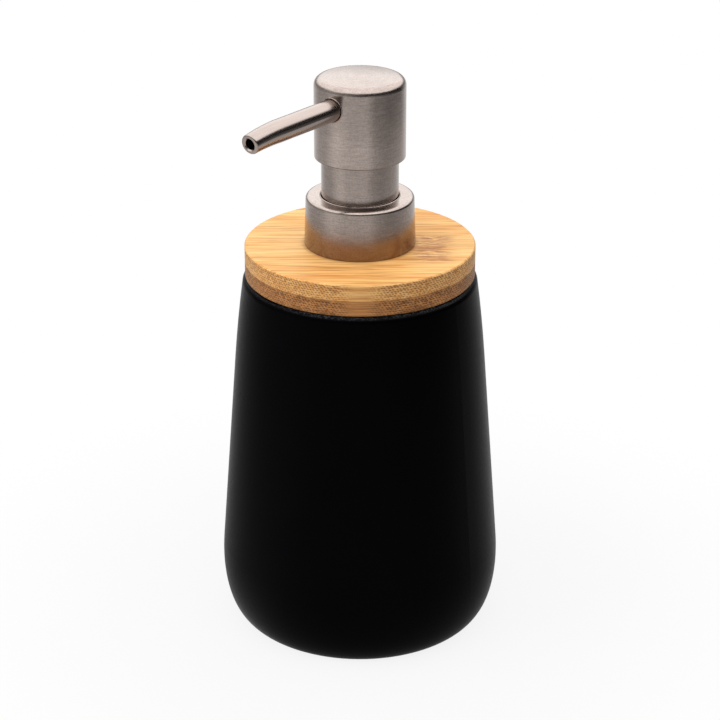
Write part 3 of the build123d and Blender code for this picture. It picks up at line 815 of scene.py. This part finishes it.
def make_thread(name, body, radius, depth, start, sizes, material):
    """A thread's ridge that stands that deep on a cylinder and rides on a body."""
    ridge = grown(
        name,
        wound_tree(name.replace("_", " ")),
        {
            "Radius": radius,
            "Bottom": LID_TOP + THREAD_FOOT,
            "Pitch": THREAD_PITCH,
            "End pitch": THREAD_PITCH,
            "Turns": sizes.thread_turns,
            "Start": start,
            "Run-out": THREAD_RUN_OUT,
            "Section depth": 2 * depth,
            "Section width": sizes.thread_width,
            "Section sides": 10,
            "Points": 160,
            "Material": material,
        },
    )
    place_mesh(name, ridge, body)


class DISPENSER_OT_metal(bpy.types.Operator):
    """Make the brushed finish that the pump's shells share"""

    bl_idname = "dispenser.metal"
    bl_label = "Brush Metal"

    def execute(self, context):
        brushed_nickel(context.scene.dispenser_colours)
        return {"FINISHED"}


class DISPENSER_OT_bottle(bpy.types.Operator):
    """Glaze the bottle"""

    bl_idname = "dispenser.bottle"
    bl_label = "Glaze Bottle"

    def execute(self, context):
        finish("bottle", matt_glazed_stoneware(context.scene.dispenser_colours))
        return {"FINISHED"}


class DISPENSER_OT_lid(bpy.types.Operator):
    """Finish the bamboo layers of the lid and its seal"""

    bl_idname = "dispenser.lid"
    bl_label = "Finish Lid"

    def execute(self, context):
        colours = context.scene.dispenser_colours
        upper = (colours.bamboo_pale, colours.bamboo_deep, colours.bundle)
        finish("lid_top_layer", oiled_bamboo("oiled bamboo", *upper, "lid_top_layer"))
        lower = (colours.lower_pale, colours.lower_deep, colours.lower_bundle)
        for layer in ("lid_lower_layer", "lid_plug"):
            finish(layer, oiled_bamboo("oiled dark bamboo " + layer, *lower, layer))
        finish("lid_seal", silicone_rubber(colours))
        return {"FINISHED"}


class DISPENSER_OT_neck(bpy.types.Operator):
    """Make the lid's threaded neck and finish its gasket"""

    bl_idname = "dispenser.neck"
    bl_label = "Make Threaded Neck"

    def execute(self, context):
        colours, sizes = context.scene.dispenser_colours, context.scene.dispenser_sizes
        plastic = moulded_plastic("moulded polypropylene neck", colours.plastic, 0.34, 0.5)
        low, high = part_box("neck_insert")
        plug_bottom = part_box("lid_plug")[0].z
        core = NECK_CREST - sizes.thread_depth
        lead = 0.4 * MM
        profile = [
            (NECK_BORE, low.z),
            (high.x - lead, low.z),
            (high.x, low.z + lead),
            (high.x, plug_bottom),
            (NECK_CREST, plug_bottom),
            (NECK_CREST, LID_TOP + lead),
            (core, LID_TOP + lead),
            (core, high.z - lead),
            (core - lead, high.z),
            (NECK_BORE, high.z),
        ]
        neck = place_mesh("threaded_neck", turned("threaded_neck", profile, plastic), "lid")
        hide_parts("neck_insert")
        make_thread("neck_thread", "lid", core, sizes.thread_depth, 0.0, sizes, plastic)
        finish("neck_gasket", foamed_gasket(colours))
        return {"FINISHED"}


class DISPENSER_OT_closure(bpy.types.Operator):
    """Finish the screw closure, and make the thread inside it and the lip round its hole"""

    bl_idname = "dispenser.closure"
    bl_label = "Finish Closure"

    def execute(self, context):
        colours, sizes = context.scene.dispenser_colours, context.scene.dispenser_sizes
        plastic = moulded_plastic("moulded polypropylene cap", colours.plastic, 0.36, 0.52)
        finish("closure_cap", plastic)
        metal = bpy.data.materials["brushed nickel plate"]
        finish("collar_shell", metal)
        # The collar's hole has a thin rolled lip round the pump's neck.
        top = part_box("collar_shell")[1].z
        hole = radii("collar_shell", top - 0.6 * MM, top + MM)[0]
        half = sizes.collar_lip / 2
        turns = [i * math.pi / 6 for i in range(12)]
        bead = [(hole + half * (1 + math.cos(t)), top + half * math.sin(t)) for t in turns]
        place_mesh("collar_hole_lip", turned("collar_hole_lip", bead, metal), "closure")
        # The ridge stays a little short of the neck's core.
        depth = sizes.thread_depth - 0.1 * MM
        make_thread("closure_thread", "closure", CAP_BORE, depth, CAP_THREAD_START, sizes, plastic)
        return {"FINISHED"}


class DISPENSER_OT_pump(bpy.types.Operator):
    """Finish the pump's fixed neck, cylinder, piston, valves and suction tube"""

    bl_idname = "dispenser.pump"
    bl_label = "Finish Pump"

    def execute(self, context):
        colours = context.scene.dispenser_colours
        tint = colours.plastic
        finish("neck_sleeve", bpy.data.materials["brushed nickel plate"])
        white = moulded_plastic("moulded polypropylene", tint, 0.36, 0.52)
        for node in ("chaplet", "pump_stem", "piston_retainer"):
            finish(node, white)
        finish("pump_housing", moulded_plastic("moulded natural polypropylene", tint, 0.28, 0.4, clear=0.35))
        finish("dip_tube", moulded_plastic("extruded polyethylene tube", tint, 0.24, 0.36, clear=0.55))
        finish("piston_seal", moulded_plastic("moulded soft polyethylene", tint, 0.45, 0.6))
        ball = bright_steel("ground steel ball", colours, 0.05, 0.12, mark=0.8)
        for node in ("inlet_ball", "outlet_ball"):
            finish(node, ball)
        return {"FINISHED"}


class DISPENSER_OT_spring(bpy.types.Operator):
    """Wind the return spring from round wire with closed ends"""

    bl_idname = "dispenser.spring"
    bl_label = "Wind Spring"

    def execute(self, context):
        colours, sizes = context.scene.dispenser_colours, context.scene.dispenser_sizes
        low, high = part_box("return_spring")
        tall = high.z - low.z
        outer = radii("return_spring", low.z, high.z)[1]
        # Both ends are one closed turn, and the turns between share the rest of the climb.
        climb = tall - sizes.wire
        active = sizes.coils - 2.0
        coil = grown(
            "wound_spring",
            wound_tree("return spring"),
            {
                "Radius": outer - sizes.wire / 2,
                "Bottom": low.z + sizes.wire / 2,
                "Pitch": (climb - 2 * sizes.wire) / active,
                "End pitch": sizes.wire,
                "Turns": sizes.coils,
                "Start": 0.0,
                "Run-out": 0.02,
                "Section depth": sizes.wire,
                "Section width": sizes.wire,
                "Section sides": sizes.wire_sides,
                "Points": int(36 * sizes.coils),
                "Material": bright_steel("drawn spring steel", colours, 0.2, 0.34, mark=0.5),
            },
        )
        spring = place_mesh("wound_spring", coil, "pump_body")
        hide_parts("return_spring")
        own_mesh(spring)
        return {"FINISHED"}


class DISPENSER_OT_head(bpy.types.Operator):
    """Finish the pump's head and spout, and make the head's crown and the lip round the spout's hole"""

    bl_idname = "dispenser.head"
    bl_label = "Finish Head"

    def execute(self, context):
        colours, sizes = context.scene.dispenser_colours, context.scene.dispenser_sizes
        metal = bpy.data.materials["brushed nickel plate"]
        finish("head_shell", metal)
        # The top is slightly crowned, and the crown is sunk into the shell's flat top.
        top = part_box("head_shell")[1].z
        rim = radii("head_shell", top - 0.01 * MM, top)[1]
        shares = [i / 12 for i in range(13)]
        arc = [(rim * share, top + sizes.crown * (1 - share**2)) for share in shares]
        profile = [*arc, (rim, top - sizes.crown), (0.0, top - sizes.crown)]
        place_mesh("head_crown", turned("head_crown", profile, metal), "head")
        finish("actuator_core", moulded_plastic("moulded polypropylene core", colours.plastic, 0.36, 0.52))
        finish("spout_tube", polished_nickel(colours))
        lip = grown(
            "spout_hole_lip",
            hole_lip_tree("spout hole lip"),
            {
                "Hole radius": SPOUT_HOLE,
                "Wall radius": HEAD_RADIUS,
                "Height": SPOUT_HEIGHT,
                "Thickness": sizes.lip,
                "Material": metal,
            },
        )
        place_mesh("spout_hole_lip", lip, "head")
        return {"FINISHED"}


# The room as metal sees it, by turn from the camera's side in degrees: how bright the screens round the
# object are, and the sines of the heights where they begin to give way to the bright ceiling and where
# it is all ceiling.
SCREEN_TONES = [
    *((-180, 0.35), (-150, 0.35), (-108, 0.4), (-65, 0.5), (-29, 0.28)),
    *((0, 0.1), (58, 0.03), (112, 0.02), (150, 0.35)),
]
SCREEN_TOPS = [
    *((-180, 0.06), (-150, 0.1), (-110, 0.3), (-70, 0.42), (-35, 0.54)),
    *((0, 0.58), (40, 0.52), (70, 0.42), (100, 0.34), (130, 0.2), (155, 0.1)),
]
CEILING_EDGES = [
    *((-180, 0.3), (-150, 0.32), (-110, 0.55), (-70, 0.66), (-35, 0.72)),
    *((0, 0.74), (40, 0.72), (70, 0.64), (100, 0.54), (130, 0.44), (155, 0.32)),
]
CEILING_TONE = 1.94
# How bright metal sees the floor, by the same turns: near the object, further out and far from it.
LEFT_TONES = [(-180, 1.0), (-120, 0.55), (-92, 0.6), (-62, 0.95)]
NEAR_TONES = [*LEFT_TONES, (-28, 0.78), (18, 0.78), (38, 0.68), (70, 0.58), (110, 0.66), (150, 0.8)]
OUTER_TONES = [*LEFT_TONES, (-28, 0.74), (18, 0.74), (38, 0.36), (70, 0.38), (110, 0.62), (150, 0.8)]
FAR_TONES = [*LEFT_TONES, (-28, 0.74), (18, 0.74), (38, 0.36), (75, 0.12), (120, 0.08), (150, 0.8)]


def turn_tones(tree, direction, tones):
    """The brightness at a direction, read from tones by turn about the object."""
    front = add(tree, "ShaderNodeVectorMath", {0: direction, 1: around(0, 0, 1.0)}, operation="DOT_PRODUCT")
    right = add(tree, "ShaderNodeVectorMath", {0: direction, 1: around(90, 0, 1.0)}, operation="DOT_PRODUCT")
    turn = add(tree, "ShaderNodeMath", {0: right, 1: front}, operation="ARCTAN2")
    share = add(tree, "ShaderNodeMapRange", {"Value": turn, "From Min": -math.pi, "From Max": math.pi})
    stops = [(angle / 360 + 0.5, (tone, tone, tone, 1.0)) for angle, tone in tones]
    return add(tree, "ShaderNodeValToRGB", {"Fac": share}, stops=stops)


def seen_share(tree, path):
    """1 for a ray that shows the surroundings: straight to the camera, off metal or through clear plastic."""
    seen = path["Is Camera Ray"]
    for ray in ("Is Glossy Ray", "Is Transmission Ray"):
        seen = add(tree, "ShaderNodeMath", {0: seen, 1: path[ray]}, operation="MAXIMUM")
    return seen


def studio_paper():
    """White paper under the object, lit by itself except for a share that takes the shadow."""
    paper, tree, place = new_material("white studio paper")
    path = add(tree, "ShaderNodeLightPath").outputs
    away = add(tree, "ShaderNodeVectorMath", {0: place}, operation="LENGTH")
    own = add(
        tree,
        "ShaderNodeMapRange",
        {"Value": away, "From Min": 0.06, "From Max": 0.16, "To Min": 0.86, "To Max": 1.0},
        interpolation_type="SMOOTHSTEP",
    )
    share = add(tree, "ShaderNodeMath", {0: seen_share(tree, path), 1: own}, operation="MULTIPLY")
    tone = turn_tones(tree, place, NEAR_TONES)
    for start, end, tones in ((0.34, 0.42, OUTER_TONES), (0.38, 0.6, FAR_TONES)):
        distant = add(
            tree,
            "ShaderNodeMapRange",
            {"Value": away, "From Min": start, "From Max": end},
            interpolation_type="SMOOTHSTEP",
        )
        beyond = turn_tones(tree, place, tones)
        tone = add(tree, "ShaderNodeMix", {0: distant, 2: tone, 3: beyond}, data_type="FLOAT")
    tone = add(tree, "ShaderNodeMath", {0: tone, 1: path["Is Camera Ray"]}, operation="MAXIMUM")
    glow = add(tree, "ShaderNodeEmission", {"Color": linear("#FFFFFF"), "Strength": tone})
    sheet = add(tree, "ShaderNodeBsdfDiffuse", {"Color": linear("#D8D8D8")})
    mixed = add(tree, "ShaderNodeMixShader", {0: share, 1: sheet, 2: glow})
    add(tree, "ShaderNodeOutputMaterial", {"Surface": mixed})
    return paper


def studio_room(fill):
    """A world that is white to the camera, a room with dim screens to metal, and an even fill to the rest."""
    world = bpy.data.worlds.new("white studio")
    world.use_nodes = True
    tree = world.node_tree
    tree.nodes.clear()
    path = add(tree, "ShaderNodeLightPath").outputs
    direction = add(tree, "ShaderNodeTexCoord").outputs["Generated"]
    rise = add(tree, "ShaderNodeSeparateXYZ", {"Vector": direction}).outputs["Z"]
    ceiling = add(
        tree,
        "ShaderNodeMapRange",
        {
            "Value": rise,
            "From Min": turn_tones(tree, direction, SCREEN_TOPS),
            "From Max": turn_tones(tree, direction, CEILING_EDGES),
        },
        interpolation_type="SMOOTHSTEP",
    )
    screens = turn_tones(tree, direction, SCREEN_TONES)
    room = add(tree, "ShaderNodeMix", {0: ceiling, 2: screens, 3: CEILING_TONE}, data_type="FLOAT")
    tone = add(tree, "ShaderNodeMix", {0: path["Is Camera Ray"], 2: room, 3: 1.0}, data_type="FLOAT")
    backdrop = add(tree, "ShaderNodeBackground", {"Color": linear("#FFFFFF"), "Strength": tone})
    ambient = add(tree, "ShaderNodeBackground", {"Color": linear("#FFFFFF"), "Strength": fill})
    sky = add(tree, "ShaderNodeMixShader", {0: seen_share(tree, path), 1: ambient, 2: backdrop})
    add(tree, "ShaderNodeOutputWorld", {"Surface": sky})
    return world


def softbox(name, place, aim, width, height, radiance):
    """An area lamp whose surface has that radiance, where 1 is white."""
    lamp = bpy.data.lights.new(name, "AREA")
    lamp.shape, lamp.size, lamp.size_y = "RECTANGLE", width, height
    lamp.energy = radiance * math.pi * width * height
    holder = bpy.data.objects.new(name, lamp)
    holder.location = place
    holder.rotation_mode = "QUATERNION"
    holder.rotation_quaternion = (aim - place).to_track_quat("-Z", "Y")
    # The metal shows the room's screens and ceiling in place of the lamps.
    holder.visible_glossy = False
    bpy.context.scene.collection.objects.link(holder)


class DISPENSER_OT_stage(bpy.types.Operator):
    """Set the floor, the soft light, the white surroundings and the camera"""

    bl_idname = "dispenser.stage"
    bl_label = "Set Stage"

    def execute(self, context):
        stage, scene = context.scene.dispenser_stage, context.scene
        middle = Vector((0.0, 0.0, stage.aim))

        camera = bpy.data.objects.new("camera", bpy.data.cameras.new("camera"))
        camera.data.lens, camera.data.sensor_width = stage.lens, 36.0
        camera.data.clip_start, camera.data.clip_end = 0.01, 50.0
        camera.location = around(0.0, math.degrees(stage.pitch), stage.distance, middle)
        camera.rotation_mode = "QUATERNION"
        camera.rotation_quaternion = (middle - camera.location).to_track_quat("-Z", "Y")
        scene.collection.objects.link(camera)
        scene.camera = camera

        overhead = around(0, 0, 0.15, Vector((0, 0, 1.15)))
        softbox("overhead softbox", overhead, middle, width=2.4, height=2.4, radiance=1.32)
        softbox("back softbox", around(182, 30, 1.25), middle, width=1.3, height=0.5, radiance=0.8)
        softbox("left softbox", around(-72, 24, 1.0), middle, width=0.8, height=0.8, radiance=2.3)
        scene.world = studio_room(stage.fill)

        work = bmesh.new()
        bmesh.ops.create_circle(work, cap_ends=True, segments=64, radius=FLOOR_RADIUS)
        mesh = bpy.data.meshes.new("floor")
        work.to_mesh(mesh)
        work.free()
        floor = bpy.data.objects.new("floor", mesh)
        scene.collection.objects.link(floor)
        mesh.materials.append(studio_paper())

        scene.view_settings.view_transform = "Standard"
        return {"FINISHED"}


class DISPENSER_PT_panel(bpy.types.Panel):
    """Lists the steps and their sizes and colours"""

    bl_idname = "DISPENSER_PT_panel"
    bl_label = "Soap Dispenser"
    bl_space_type = "VIEW_3D"
    bl_region_type = "UI"
    bl_category = "Dispenser"

    def draw(self, context):
        for operator in STEPS:
            self.layout.operator(operator.bl_idname)
        for group in GROUPS:
            settings = getattr(context.scene, group)
            box = self.layout.box()
            for key in settings.__annotations__:
                box.prop(settings, key)


GROUPS = {
    "dispenser_colours": DispenserColours,
    "dispenser_sizes": DispenserSizes,
    "dispenser_stage": DispenserStage,
}
STEPS = (
    DISPENSER_OT_stage,
    DISPENSER_OT_metal,
    DISPENSER_OT_bottle,
    DISPENSER_OT_lid,
    DISPENSER_OT_neck,
    DISPENSER_OT_closure,
    DISPENSER_OT_pump,
    DISPENSER_OT_spring,
    DISPENSER_OT_head,
)
CLASSES = (*GROUPS.values(), *STEPS, DISPENSER_PT_panel)


def register():
    for each in CLASSES:
        bpy.utils.register_class(each)
    for name, group in GROUPS.items():
        setattr(bpy.types.Scene, name, PointerProperty(type=group))


def unregister():
    for name in GROUPS:
        delattr(bpy.types.Scene, name)
    for each in reversed(CLASSES):
        bpy.utils.unregister_class(each)


def main():
    register()
    for step in STEPS:
        group, name = step.bl_idname.split(".")
        getattr(getattr(bpy.ops, group), name)()


if __name__ == "__main__":
    main()
